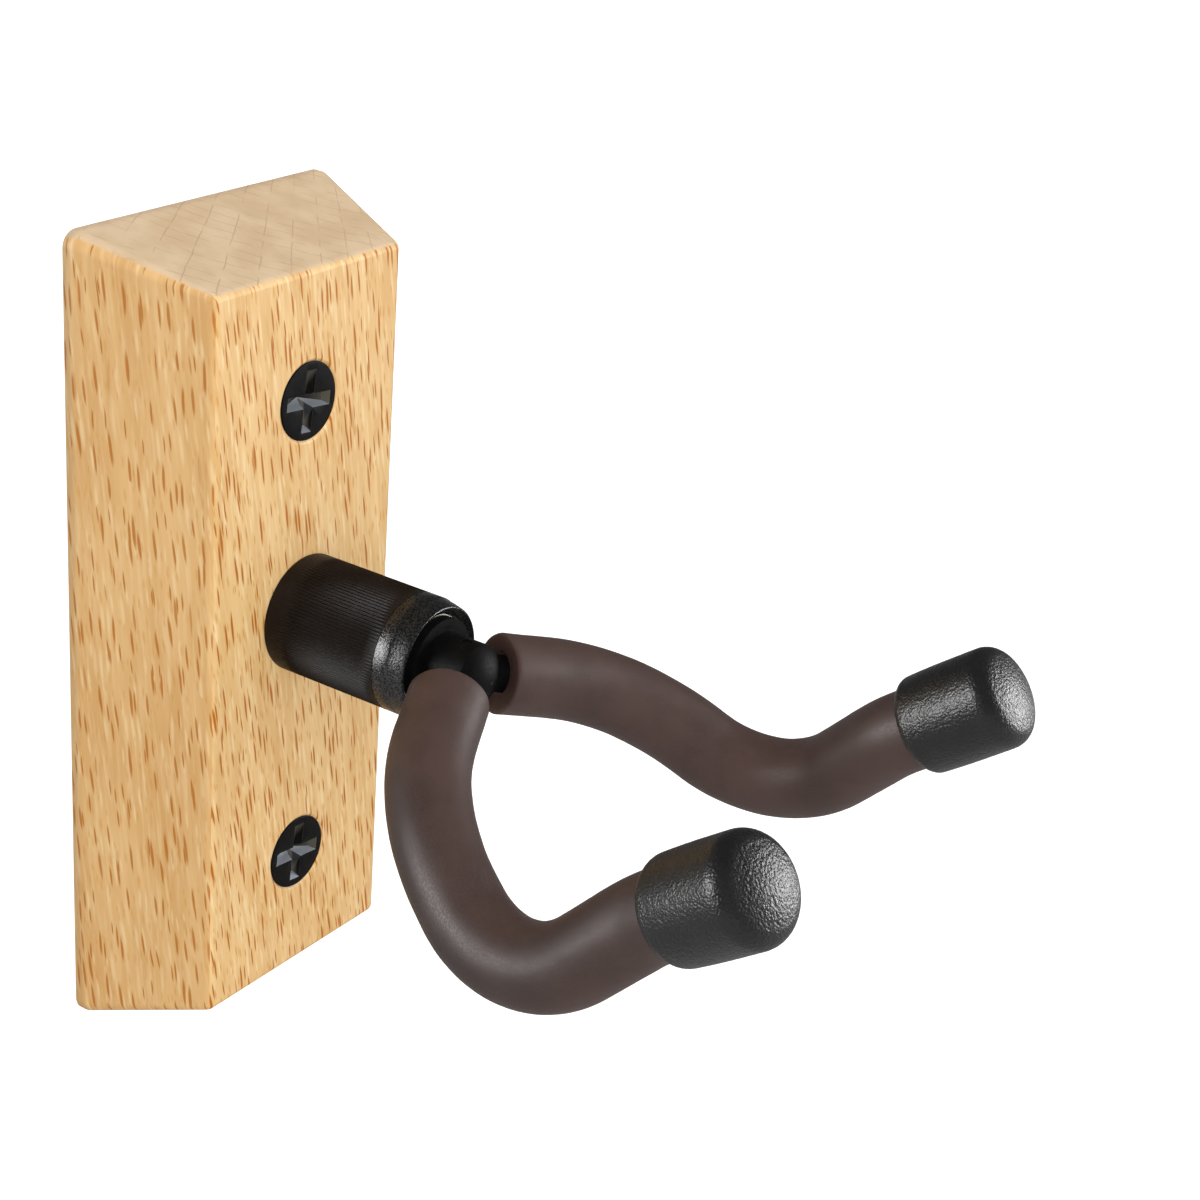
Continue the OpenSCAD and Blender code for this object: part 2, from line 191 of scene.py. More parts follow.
def arm_route():
    """The right arm from the spindle head: bends (length, radius, roll) and straights (length, None, 0)."""
    out_way = SHOULDER.normalized()
    down_way = (DIP - SHOULDER).normalized()
    up_way = (CROOK - DIP).normalized()
    tip_way = (TIP - CROOK).normalized()
    across = Vector((1, 0, 0))
    hub_turn = turn_angle(across, out_way)
    shoulder_turn = turn_angle(out_way, down_way)
    dip_turn = turn_angle(down_way, up_way)
    crook_turn = turn_angle(up_way, tip_way)
    hub_used = HUB_RADIUS * math.tan(hub_turn)
    shoulder_used = SHOULDER_RADIUS * math.tan(shoulder_turn / 2)
    dip_used = DIP_RADIUS * math.tan(dip_turn / 2)
    crook_used = CROOK_RADIUS * math.tan(crook_turn / 2)
    first_side = out_way.cross(across.cross(out_way).normalized())
    hinge = out_way.cross(down_way).normalized()
    shoulder_roll = roll_angle(out_way, first_side, out_way.cross(hinge))
    second_side = Matrix.Rotation(-shoulder_roll, 3, down_way) @ down_way.cross(hinge)
    dip_hinge = down_way.cross(up_way).normalized()
    dip_roll = roll_angle(down_way, second_side, down_way.cross(dip_hinge))
    third_side = Matrix.Rotation(-dip_roll, 3, up_way) @ up_way.cross(dip_hinge)
    crook_hinge = up_way.cross(tip_way).normalized()
    crook_roll = roll_angle(up_way, third_side, up_way.cross(crook_hinge))
    route = [
        (HUB_RADIUS * hub_turn, HUB_RADIUS, 0),
        (SHOULDER.length - hub_used - shoulder_used, None, 0),
        (SHOULDER_RADIUS * shoulder_turn, SHOULDER_RADIUS, shoulder_roll),
        ((DIP - SHOULDER).length - shoulder_used - dip_used, None, 0),
        (DIP_RADIUS * dip_turn, DIP_RADIUS, dip_roll),
        ((CROOK - DIP).length - dip_used - crook_used, None, 0),
        (CROOK_RADIUS * crook_turn, CROOK_RADIUS, crook_roll),
        ((TIP - CROOK).length - crook_used, None, 0),
    ]
    tilt = math.atan2(-SHOULDER.y, SHOULDER.z)
    rise = HUB_RADIUS / math.cos(hub_turn) - HUB_RADIUS
    start = out_of_wall(SWIVEL.z) @ Matrix.Translation(
        (0, -rise * math.sin(tilt), YOKE_DEPTH + rise * math.cos(tilt))
    ) @ Matrix.Rotation(tilt, 4, "X") @ Matrix.Rotation(math.pi / 2, 4, "Y")
    return start, route, HUB_RADIUS * hub_turn - hub_used


ARM_START, ARM_ROUTE, ARM_OFFSET = arm_route()
ARM_LENGTH = sum(part[0] for part in ARM_ROUTE)
SLEEVE_START = SLEEVE_GAP + ARM_OFFSET
SLEEVE_END = ARM_LENGTH - CAP_WALL
CAP_START = ARM_LENGTH - CAP_LENGTH


def arm_axis(side):
    """Frames along the right (side 1) or the left (side -1) arm by distance from the spindle head."""
    mirror = Matrix.Diagonal((side, 1, 1, 1))

    def at(distance):
        place = ARM_START
        left = distance
        for index, (length, radius, roll) in enumerate(ARM_ROUTE):
            last = index == len(ARM_ROUTE) - 1
            step = left if last else min(left, length)
            if radius is None:
                place = place @ Matrix.Translation((0, 0, step))
            else:
                place = (
                    place
                    @ Matrix.Rotation(roll, 4, "Z")
                    @ Matrix.Translation((-radius, 0, 0))
                    @ Matrix.Rotation(-step / radius, 4, "Y")
                    @ Matrix.Translation((radius, 0, 0))
                    @ Matrix.Rotation(-roll, 4, "Z")
                )
            left -= step
            if left <= 0:
                break
        return mirror @ place

    return at


# ---------------------------------------------------------------- material helpers

def srgb(red, green, blue):
    """A colour given as 0 to 255 on screen, as the linear values that shaders use."""
    linear = [((c / 255 + 0.055) / 1.055) ** 2.4 if c > 10 else c / 255 / 12.92 for c in (red, green, blue)]
    return (*linear, 1.0)


class Material:
    """Builds a node material: add() makes a node, sets its values or links them, and returns it."""

    def __init__(self, name):
        self.material = bpy.data.materials.new(name)
        self.material.use_nodes = True
        self.tree = self.material.node_tree
        self.tree.nodes.clear()
        self.shader = self.tree.nodes.new("ShaderNodeBsdfPrincipled")
        output = self.tree.nodes.new("ShaderNodeOutputMaterial")
        self.tree.links.new(self.shader.outputs[0], output.inputs[0])
        self.place = self.add("ShaderNodeTexCoord").outputs["Object"]

    def put(self, socket, value):
        if isinstance(value, bpy.types.NodeSocket):
            self.tree.links.new(value, socket)
        else:
            socket.default_value = value

    def add(self, kind, settings=None, **inputs):
        node = self.tree.nodes.new(kind)
        for name, value in (settings or {}).items():
            setattr(node, name, value)
        for name, value in inputs.items():
            key = int(name[1:]) if name[0] == "i" and name[1:].isdigit() else name.replace("_", " ")
            self.put(node.inputs[key], value)
        return node

    def shade(self, **inputs):
        for name, value in inputs.items():
            self.put(self.shader.inputs[name.replace("_", " ")], value)

    def math(self, operation, a, b=0.0, c=0.0):
        return self.add("ShaderNodeMath", {"operation": operation}, i0=a, i1=b, i2=c).outputs[0]

    def distance(self, a, b):
        return self.math("SQRT", self.math("MULTIPLY_ADD", a, a, self.math("MULTIPLY", b, b)))

    def vector(self, operation, a, b):
        return self.add("ShaderNodeVectorMath", {"operation": operation}, i0=a, i1=b).outputs[0]

    def parts(self, vector):
        return self.add("ShaderNodeSeparateXYZ", None, i0=vector).outputs

    def facing(self):
        return self.parts(self.add("ShaderNodeNewGeometry").outputs["Normal"])

    def stretched(self, scale, place=None):
        return self.vector("MULTIPLY", place or self.place, scale)

    def noise(self, scale, detail=2.0, roughness=0.5, place=None):
        node = self.add("ShaderNodeTexNoise", None, Vector=place or self.place, Scale=scale, Detail=detail)
        node.inputs["Roughness"].default_value = roughness
        return node.outputs["Fac"]

    def cells(self, place, **settings):
        return self.add("ShaderNodeTexVoronoi", settings, Vector=place, Scale=1.0).outputs

    def ease(self, value, low, high, to_low=0.0, to_high=1.0):
        """value from low to high becomes to_low to to_high, smoothly, and stays there outside."""
        settings = {"interpolation_type": "SMOOTHSTEP"}
        node = self.add("ShaderNodeMapRange", settings, Value=value)
        for key, number in (("From Min", low), ("From Max", high), ("To Min", to_low), ("To Max", to_high)):
            node.inputs[key].default_value = number
        return node.outputs[0]

    def mix(self, amount, a, b, blend="MIX"):
        node = self.add("ShaderNodeMix", {"data_type": "RGBA", "blend_type": blend})
        self.put(node.inputs[0], amount)
        self.put(node.inputs[6], a)
        self.put(node.inputs[7], b)
        return node.outputs[2]

    def bump(self, height, depth, strength):
        return self.add("ShaderNodeBump", None, Height=height, Distance=depth, Strength=strength).outputs[0]


def paint(obj, material):
    """Gives an object its material: CAD nodes keep their slots, new pieces get one new slot."""
    if obj.material_slots:
        for place in obj.material_slots:
            place.material = material.material
    else:
        obj.data.materials.append(material.material)


# ---------------------------------------------------------------- materials

def beech():
    """Oiled beech: long grain with brown flecks on the front and the sides, rings and rays on the ends."""
    m = Material("beech")
    base_dark, base_pale = srgb(226, 180, 120), srgb(241, 201, 145)
    streak_tone, pale_tone = srgb(248, 216, 168), srgb(252, 226, 182)
    fine_tone, bold_tone = srgb(212, 146, 60), srgb(188, 110, 12)
    front_tint, side_shade_tint = (1.0, 0.99, 0.9, 1.0), (0.95, 0.89, 0.77, 1.0)
    end_dark, end_pale, end_line_tone = srgb(214, 184, 147), srgb(226, 199, 164), srgb(168, 138, 102)
    heart = (0.1, 0.06, 0)
    ring_spacing = 0.0033
    x, y, z = m.parts(m.place)
    facing = m.facing()
    is_side = m.math("GREATER_THAN", m.math("ABSOLUTE", facing[0]), 0.6)
    is_end = m.ease(m.math("ABSOLUTE", facing[2]), 0.55, 0.8)

    # across the grain: X on the front, Y on the sides. The grain leans a little on each.
    front_across = m.math("MULTIPLY_ADD", z, 0.15, x)
    side_across = m.math("ADD", m.math("MULTIPLY_ADD", z, -0.09, y), 0.3)
    across = m.math("MULTIPLY_ADD", is_side, m.math("SUBTRACT", side_across, front_across), front_across)
    waver = m.math("MULTIPLY", m.noise(1, 2, place=m.stretched((160, 160, 60))), 0.0012)
    along = m.add("ShaderNodeCombineXYZ", None, i0=m.math("ADD", across, waver), i1=z, i2=0.0).outputs[0]
    clouds = m.noise(1, 3, 0.6, m.stretched((130, 16, 0), along))
    streaks = m.noise(1, 3, 0.6, m.stretched((1100, 60, 0), along))
    colour = m.mix(m.ease(clouds, 0.3, 0.7), base_dark, base_pale)
    colour = m.mix(m.ease(streaks, 0.42, 0.72, 0.0, 0.7), colour, streak_tone)

    def flecks(scale, start, low, high, share):
        """Short dashes, one in each stretched cell whose lot is above the share."""
        place = m.vector("ADD", m.stretched((scale[0], scale[1], 0), along), (start, start * 1.7, 0))
        cell = m.cells(place, voronoi_dimensions="2D")
        lot = m.add("ShaderNodeSeparateColor", None, i0=cell["Color"]).outputs
        size = m.math("MULTIPLY_ADD", lot[1], 0.7, 0.55)
        shape = m.ease(m.math("DIVIDE", cell["Distance"], size), low, high, 1.0, 0.0)
        return m.math("MULTIPLY", shape, m.ease(lot[0], share, share + 0.2))

    bold = m.math("MAXIMUM", flecks((600, 56), 3.1, 0.1, 0.23, 0.25), flecks((680, 62), 7.7, 0.1, 0.23, 0.35))
    fine = m.math("MAXIMUM", flecks((760, 120), 1.3, 0.06, 0.22, 0.35),
                  flecks((700, 130), 5.9, 0.06, 0.22, 0.45))
    pale = flecks((700, 80), 9.4, 0.1, 0.34, 0.4)
    colour = m.mix(m.math("MULTIPLY", pale, 0.6), colour, pale_tone)
    # Painted shade: the side faces are multiplied by a darker, warmer tint than the front.
    colour = m.mix(1.0, colour, m.mix(is_side, front_tint, side_shade_tint), "MULTIPLY")
    fine = m.math("MULTIPLY", fine, m.math("MULTIPLY_ADD", is_side, -0.25, 0.65))
    bold = m.math("MULTIPLY", bold, m.math("MULTIPLY_ADD", is_side, -0.15, 1.0))
    colour = m.mix(fine, colour, fine_tone)
    colour = m.mix(bold, colour, bold_tone)

    # end grain: rings and rays round a heart well outside the block
    from_heart = m.parts(m.vector("SUBTRACT", m.place, heart))
    reach = m.distance(from_heart[0], from_heart[1])
    bearing = m.math("ARCTAN2", from_heart[1], from_heart[0])
    wobble = m.math("MULTIPLY", m.noise(140, 2), 0.0022)

    def lines(value, width):
        nearness = m.math("ABSOLUTE", m.math("SUBTRACT", m.math("FRACT", value), 0.5))
        return m.ease(nearness, 0.0, width, 1.0, 0.0)

    rings = lines(m.math("DIVIDE", m.math("ADD", reach, wobble), ring_spacing), 0.1)
    rays = lines(m.math("MULTIPLY", m.math("MULTIPLY_ADD", wobble, 3.0, bearing), 22.0), 0.035)
    broken = m.ease(m.noise(200, 1), 0.4, 0.56)
    end_lines = m.math("MULTIPLY", m.math("MAXIMUM", m.math("MULTIPLY", rings, 0.55), rays), broken)
    end_tone = m.mix(m.ease(m.noise(120, 3), 0.3, 0.7), end_dark, end_pale)
    end_colour = m.mix(m.math("MULTIPLY", end_lines, 0.55), end_tone, end_line_tone)
    colour = m.mix(is_end, colour, end_colour)
    dents = m.math("MULTIPLY_ADD", bold, -0.6, m.math("MULTIPLY", streaks, 0.4))
    m.shade(Base_Color=colour, Roughness=m.ease(clouds, 0.2, 0.8, 0.55, 0.47), Specular_IOR_Level=0.3,
            Normal=m.bump(dents, 0.00012, 0.5))
    return m


def black_screw():
    """Black oxide, with a painted highlight on the bevelled edges of the recess and a painted reflection on
    its upward flanks.
    """
    m = Material("black screw")
    black_dark, black_pale = srgb(12, 12, 12), srgb(19, 19, 18)
    edge_highlight_tone, flank_highlight_tone = srgb(92, 88, 78), srgb(150, 156, 164)
    wear = m.noise(900, 3)
    facing = m.facing()
    # Masks by face direction for the painted light below: tilted picks the recess flanks, edge the bevelled
    # rims.
    tilted = m.math("MULTIPLY", m.ease(facing[1], -0.9, -0.8), m.ease(facing[1], -0.3, -0.2, 1.0, 0.0))
    edge = m.math("MULTIPLY", m.ease(facing[1], -0.97, -0.9), m.ease(facing[1], -0.6, -0.5, 1.0, 0.0))
    across, _, height = m.parts(m.place)
    half_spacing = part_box("upper_mounting_screw")[1].z - SCREW_HEAD_RADIUS
    rise = m.math("SUBTRACT", m.math("ABSOLUTE", height), half_spacing)
    recess_edge = RECESS_REACH + 0.25 * MM
    recess = m.ease(m.distance(across, rise), recess_edge, recess_edge + 0.4 * MM, 1.0, 0.0)
    # Painted reflection: recess flanks that face up get a pale blue-grey colour and some metal, as if
    # catching the light above.
    painted_flank_highlight = m.math("MULTIPLY", m.math("MULTIPLY", tilted, m.ease(facing[2], 0.2, 0.5)), recess)
    colour = m.mix(m.ease(wear, 0.4, 0.7), black_dark, black_pale)
    # Painted highlight: a lighter line on the bevelled edges round the recess.
    colour = m.mix(m.math("MULTIPLY", m.math("MULTIPLY", edge, recess), 0.8), colour, edge_highlight_tone)
    m.shade(Base_Color=m.mix(painted_flank_highlight, colour, flank_highlight_tone), Metallic=m.math("MULTIPLY", painted_flank_highlight, 0.6),
            Roughness=m.ease(wear, 0.3, 0.7, 0.4, 0.5), Specular_IOR_Level=0.06,
            Normal=m.bump(m.noise(2500, 2), 0.00002, 0.4))
    return m


def housing_black():
    """Fine matt plastic, nearly black with a trace of brown."""
    m = Material("housing black")
    grain = m.noise(3200, 3)
    m.shade(Base_Color=m.mix(m.ease(m.noise(120, 2), 0.3, 0.7), srgb(18, 14, 13), srgb(26, 21, 20)),
            Roughness=m.ease(grain, 0.3, 0.7, 0.46, 0.58), Specular_IOR_Level=0.16,
            Normal=m.bump(grain, 0.00003, 0.5))
    return m


def collar_black():
    """Rough-cast black metal that sparkles where the light catches it."""
    m = Material("collar black")
    grain = m.noise(2600, 3, 0.6)
    m.shade(Base_Color=m.mix(m.ease(grain, 0.35, 0.65), srgb(42, 42, 42), srgb(86, 86, 86)), Metallic=0.9,
            Roughness=m.ease(grain, 0.35, 0.65, 0.24, 0.38), Normal=m.bump(grain, 0.00008, 0.8))
    return m


def satin_black(name):
    """Black-coated steel with little shine."""
    m = Material(name)
    grain = m.noise(1800, 2)
    m.shade(Base_Color=m.mix(m.ease(m.noise(300, 2), 0.3, 0.7), srgb(7, 7, 7), srgb(12, 12, 12)),
            Roughness=m.ease(grain, 0.3, 0.7, 0.5, 0.62), Specular_IOR_Level=0.1,
            Normal=m.bump(grain, 0.00002, 0.4))
    return m


def bright_steel():
    """Plated steel, brushed in fine lines."""
    m = Material("bright steel")
    brushed = m.noise(1, 3, 0.6, m.stretched((300, 5000, 300)))
    colour = m.mix(m.ease(brushed, 0.3, 0.7), srgb(176, 178, 182), srgb(206, 208, 210))
    m.shade(Base_Color=colour, Metallic=1.0, Roughness=m.ease(brushed, 0.3, 0.7, 0.24, 0.38),
            Normal=m.bump(brushed, 0.00001, 0.4))
    return m


def plain_material(name, dark, pale, roughness, metallic=0.0):
    """A lightly mottled, fine-grained material for the small parts inside."""
    m = Material(name)
    grain = m.noise(1500, 3)
    m.shade(Base_Color=m.mix(m.ease(m.noise(400, 3), 0.3, 0.7), dark, pale), Metallic=metallic,
            Roughness=m.ease(grain, 0.3, 0.7, roughness - 0.06, roughness + 0.06),
            Normal=m.bump(grain, 0.00002, 0.4))
    return m


def foam():
    """Dark brown closed-cell foam: cloudy colour, fine pale pores and a soft sheen."""
    m = Material("foam")
    pores = m.cells(m.stretched((2600, 2600, 2600)))["Distance"]
    fine = m.noise(2200, 3, 0.6)
    broad = m.noise(70, 3, 0.55)
    colour = m.mix(m.ease(broad, 0.3, 0.7), srgb(64, 47, 43), srgb(76, 57, 52))
    colour = m.mix(m.ease(fine, 0.35, 0.7, 0.0, 0.35), colour, srgb(82, 64, 58))
    height = m.math("MULTIPLY_ADD", pores, 0.5, fine)
    m.shade(Base_Color=colour, Roughness=m.ease(fine, 0.3, 0.7, 0.46, 0.58), Specular_IOR_Level=0.42,
            Normal=m.bump(height, 0.00003, 0.5))
    return m


def cap_rubber():
    """Black rubber with moulded pebbles."""
    m = Material("cap rubber")
    pebbles = m.cells(m.stretched((2300, 2300, 2300)), feature="SMOOTH_F1")["Distance"]
    fine = m.noise(3600, 2)
    colour = m.mix(m.ease(m.noise(150, 3), 0.3, 0.7), srgb(16, 16, 17), srgb(24, 24, 24))
    height = m.math("MULTIPLY_ADD", fine, 0.3, m.math("MULTIPLY", pebbles, -1.0))
    m.shade(Base_Color=colour, Roughness=m.ease(fine, 0.3, 0.7, 0.32, 0.46), Specular_IOR_Level=0.55,
            Normal=m.bump(height, 0.00012, 0.9))
    return m


# ---------------------------------------------------------------- pieces

def wooden_block(material):
    """Tapered block with rounded edges, lofted from rounded rectangles from the wall to the front face."""
    low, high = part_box("base_block")
    front = [v.co for v in frame["nodes"]["base_block"].data.vertices if v.co.y < low.y + 0.1 * MM]
    front_flat = 1.0 * MM
    front_half = (max(p.x for p in front) + front_flat * 0.7, max(p.z for p in front) + front_flat * 0.7)
    back_half = (high.x, high.z)
    band = 2.5 * MM
    depth = -low.y
    rounding = 1.4 * MM
    corner_back, corner_front = 3.6 * MM, 1.6 * MM
    screw_hole = 3.6 * MM
    head_gap = 0.55 * MM
    lead_in = 0.25 * MM
    counterbore_radius, counterbore_depth = 12.5 * MM, 14 * MM
    spindle_hole = 5.5 * MM
    spigot_hole = SPIGOT_RADIUS + 0.02 * MM
    spigot_back = depth - SPIGOT_LENGTH
    past = 2 * MM

    def section(y, inset):
        """Half sizes and corner radius at a distance from the wall."""
        share = max(0.0, (y - band) / (depth - band))
        half = [b + (f - b) * share - inset for b, f in zip(back_half, front_half)]
        return half, max(0.4 * MM, corner_back + (corner_front - corner_back) * share - inset)

    rings = [(0.0, 0.5 * MM), (0.15 * MM, 0.2 * MM), (0.5 * MM, 0.0), (band * 0.75, 0.0), (band, 0.03 * MM)]
    rings += [(band + (depth - band - rounding) * k / 6, 0.0) for k in (0.15, 1, 2, 3, 4, 5, 5.9)]
    for degrees in range(0, 105, 15):
        angle = math.radians(degrees)
        rings.append((depth - rounding + rounding * math.sin(angle), rounding * (1 - math.cos(angle))))
    corner_steps = 8
    points, loops = [], []
    for y, inset in rings:
        (half_x, half_z), radius = section(y, inset)
        loop = []
        for quarter, (sx, sz) in enumerate(((1, 1), (-1, 1), (-1, -1), (1, -1))):
            for k in range(corner_steps + 1):
                angle = math.pi / 2 * (quarter + k / corner_steps)
                loop.append(len(points))
                points.append((sx * (half_x - radius) + radius * math.cos(angle), -y,
                               sz * (half_z - radius) + radius * math.sin(angle)))
        loops.append(loop)
    count = len(loops[0])
    faces = [tuple(loops[0]), tuple(loops[-1])]
    for near, far in zip(loops, loops[1:]):
        faces += [(near[k], near[(k + 1) % count], far[(k + 1) % count], far[k]) for k in range(count)]
    block = mesh_object("wooden_block", points, faces)

    cutters = []
    for name in ("upper_mounting_screw", "lower_mounting_screw"):
        lowest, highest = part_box(name)
        rim = (highest.x - lowest.x) / 2 + head_gap
        profile = [(0, -past), (screw_hole, -past), (screw_hole, depth - rim + screw_hole),
                   (rim - lead_in, depth - lead_in), (rim + 0.1 * MM + lead_in, depth + 0.05 * MM),
                   (rim + past, depth + past), (0, depth + past)]
        cutters.append(turned("cutter", profile, straight_axis(out_of_wall((lowest.z + highest.z) / 2))))
    profile = [(0, -past), (counterbore_radius, -past), (counterbore_radius, counterbore_depth),
               (spindle_hole, counterbore_depth), (spindle_hole, spigot_back), (spigot_hole, spigot_back),
               (spigot_hole, depth + past), (0, depth + past)]
    cutters.append(turned("cutter", profile, straight_axis(out_of_wall(SWIVEL.z))))
    cut(block, *cutters)
    finish_shading(block, 30)
    even = block.modifiers.new("even", "WEIGHTED_NORMAL")
    even.keep_sharp = True
    apply_modifiers(block)
    paint(block, material)
    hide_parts("base_block")
    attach(block, "wall_block")


def cross_cutter(place):
    """Tapered cross that cuts a screw's recess, with its mouth on the placed XY plane."""

    def outline(reach, half_width, z):
        corner = [(reach, -half_width), (reach, half_width), (half_width, half_width)]
        ring = []
        for quarter in range(4):
            turn = Matrix.Rotation(quarter * math.pi / 2, 2)
            ring += [place @ Vector((*(turn @ Vector(p)), z)) for p in corner]
        return ring

    mouth = outline(RECESS_REACH, half_width=1.62 * MM, z=0.4 * MM)
    floor = outline(5.7 * MM, half_width=0.95 * MM, z=-1.6 * MM)
    deepest = -3.4 * MM
    points = mouth + floor + [place @ Vector((0, 0, deepest))]
    faces = [tuple(range(12))]
    faces += [(k, (k + 1) % 12, 12 + (k + 1) % 12, 12 + k) for k in range(12)]
    faces += [(12 + k, 12 + (k + 1) % 12, 24) for k in range(12)]
    return mesh_object("cutter", points, faces)


def screw_thread(name, place, start, end, root, crest, pitch):
    """Helical ridge with a pointed section, fading out at both ends."""
    steps_per_turn = 40
    half_foot, half_crest = 0.62 * MM, 0.05 * MM
    taper = 5 * MM
    steps = int((end - start) / pitch * steps_per_turn)
    points, faces = [], []
    for k in range(steps + 1):
        along = start + (end - start) * k / steps
        angle = 2 * math.pi * (along - start) / pitch
        fade = min(1.0, 8.0 * k / steps, 5.0 * (steps - k) / steps)
        tip = min(1.0, 0.25 + (along - start) / taper)
        inner = root * tip - 0.35 * MM
        outer = root * tip + (crest - root) * fade
        section = ((inner, -half_foot), (outer, -half_crest), (outer, half_crest), (inner, half_foot))
        for reach, shift in section:
            points.append(place @ Vector((reach * math.cos(angle), reach * math.sin(angle), along + shift)))
    for k in range(steps):
        a, b = 4 * k, 4 * k + 4
        faces += [(a + j, a + (j + 1) % 4, b + (j + 1) % 4, b + j) for j in range(4)]
    faces += [(0, 1, 2, 3), tuple(4 * steps + j for j in range(4))]
    return mesh_object(name, points, faces)


def joined(name, *objects):
    """One object made of several."""
    shape = bmesh.new()
    for obj in objects:
        shape.from_mesh(obj.data)
        bpy.data.objects.remove(obj)
    mesh = bpy.data.meshes.new(name)
    shape.to_mesh(mesh)
    shape.free()
    obj = bpy.data.objects.new(name, mesh)
    scene.collection.objects.link(obj)
    return obj


def mounting_screw(node, recess_turn, material):
    """Countersunk head with a cross recess, a smooth shank and a threaded, pointed end."""
    low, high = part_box(node)
    head = (high.x - low.x) / 2
    top = -low.y
    reach = high.y
    shank = SCREW_SHANK_RADIUS
    core = SCREW_CORE_RADIUS
    point_length = 5 * MM
    edge = 0.25 * MM
    profile = [(0, -reach), (0.5 * MM, 0.9 * MM - reach), (core, point_length - reach), (core, 0.3 * MM),
               (shank, 0.6 * MM), (shank, top - 0.3 * MM - head + shank), (head - 0.1 * MM, top - 0.4 * MM)]
    profile += arc((head - edge, top - edge), edge, -10, 90, 5)
    profile += [(head * 0.7, top), (0, top)]
    place = out_of_wall((low.z + high.z) / 2)
    body = turned("body", profile, straight_axis(place), 128)
    cut(body, cross_cutter(place @ Matrix.Translation((0, 0, top)) @ Matrix.Rotation(recess_turn, 4, "Z")))
    soften = body.modifiers.new("soften", "BEVEL")
    soften.width = 0.12 * MM
    soften.segments = 2
    soften.limit_method = "ANGLE"
    soften.angle_limit = math.radians(38)
    apply_modifiers(body)
    thread = screw_thread("thread", place, 1.2 * MM - reach, 0.2 * MM, core, crest=3.15 * MM, pitch=2.9 * MM)
    screw = joined(node.replace("mounting", "wood"), body, thread)
    finish_shading(screw, 35)
    paint(screw, material)
    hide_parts(node)
    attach(screw, "wall_block")


def ribbed_housing(material):
    """Smooth foot, fine ribs that fade in and out, and a spigot and seats that the other parts fit."""
    low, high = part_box("swivel_housing")
    radius = (high.x - low.x) / 2
    back = -high.y
    nose = -low.y
    foot = back + SPIGOT_LENGTH
    edge = 0.5 * MM
    bore = 5.2 * MM
    ribs_end = nose - 4.5 * MM
    ribs_start = foot + 4 * MM
    fade = 1.6 * MM

    def shape(reach, along, angle):
        if reach < radius - RIB_HEIGHT or not ribs_start < along < ribs_end:
            return reach
        amount = min(1.0, (along - ribs_start) / fade, (ribs_end - 0.6 * MM - along) / fade)
        return reach - max(0.0, amount) * RIB_HEIGHT * (0.5 - 0.5 * math.cos(RIBS * angle))

    profile = [(BUSH_RADIUS, back), (SPIGOT_RADIUS, back), (SPIGOT_RADIUS, foot)]
    profile += arc((radius - edge, foot + edge), edge, -90, 0, 5)
    stations = 26
    profile += [(radius, ribs_start + (ribs_end - ribs_start) * k / stations) for k in range(stations + 1)]
    profile += [(NOSE_RADIUS, ribs_end), (NOSE_RADIUS, nose), (BUSH_RADIUS, nose),
                (BUSH_RADIUS, nose - BUSH_LENGTH), (bore, nose - BUSH_LENGTH), (bore, back + BUSH_LENGTH),
                (BUSH_RADIUS, back + BUSH_LENGTH)]
    housing = turned("ribbed_housing", profile, straight_axis(out_of_wall(SWIVEL.z)), RIBS * 8, shape)
    finish_shading(housing, 40)
    paint(housing, material)
    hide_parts("swivel_housing")
    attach(housing, "wall_block")


def collar_ring(material):
    """Smooth band, a step, a long taper and a thin rounded lip round the recess."""
    low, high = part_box("front_collar")
    radius = (high.x - low.x) / 2
    back = -high.y
    front = -low.y
    step = back + 3.5 * MM
    lip = radius - 0.8 * MM
    lip_round = 0.4 * MM
    chamfer = 0.15 * MM
    recess = 10.2 * MM
    seat = front - 3 * MM
    profile = [(NOSE_RADIUS, back), (radius - chamfer, back), (radius, back + chamfer),
               (radius, back + 1.5 * MM), (radius, step - 0.25 * MM), (radius - 0.12 * MM, step),
               (radius - 0.2 * MM, step + 0.2 * MM), (radius - 0.36 * MM, step + 1.6 * MM),
               (lip + 0.12 * MM, front - 0.9 * MM)]
    profile += arc((lip - lip_round, front - lip_round), lip_round, 15, 90, 5)
    profile += [(lip - 0.55 * MM, front - 0.06 * MM), (recess, front - 1.4 * MM), (recess, seat),
                (NOSE_RADIUS, seat)]
    collar = turned("collar_ring", profile, straight_axis(out_of_wall(SWIVEL.z)), 192)
    finish_shading(collar, 35)
    paint(collar, material)
    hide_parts("front_collar")
    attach(collar, "wall_block")


def foam_sleeve(name, node, side, material):
    """Thick foam tube drawn over the bent rod, with soft lips at its open end and a slightly uneven skin."""
    lip = 0.7 * MM
    outer, inner = SLEEVE_RADIUS, SLEEVE_BORE
    start, end = SLEEVE_START, SLEEVE_END
    ring_spacing = 0.9 * MM
    count = int((end - start) / ring_spacing)
    profile = arc((outer - lip, start + lip), lip, -90, 0, 5)
    profile += [(outer, start + lip + (end - start - lip) * k / count) for k in range(1, count + 1)]
    profile += [(inner, end)]
    profile += [(inner, end - (end - start - 2 * lip) * k / count) for k in range(1, count + 1)]
    profile += [(inner + 0.3 * MM, start + 0.3 * MM), (inner + 0.8 * MM, start)]

    def shape(reach, along, angle):
        if reach < outer - lip * 1.2:
            return reach
        broad = Vector((math.cos(angle) * 2, math.sin(angle) * 2, along / (9 * MM)))
        fine = Vector((math.cos(angle) * 5, math.sin(angle) * 5, along / (3 * MM)))
        return reach + 0.09 * MM * noise.noise(broad) + 0.03 * MM * noise.noise(fine)

    sleeve = turned(name, profile, arm_axis(side), 96, shape)
    finish_shading(sleeve, 50)
    paint(sleeve, material)
    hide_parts(node)
    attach(sleeve, "yoke")


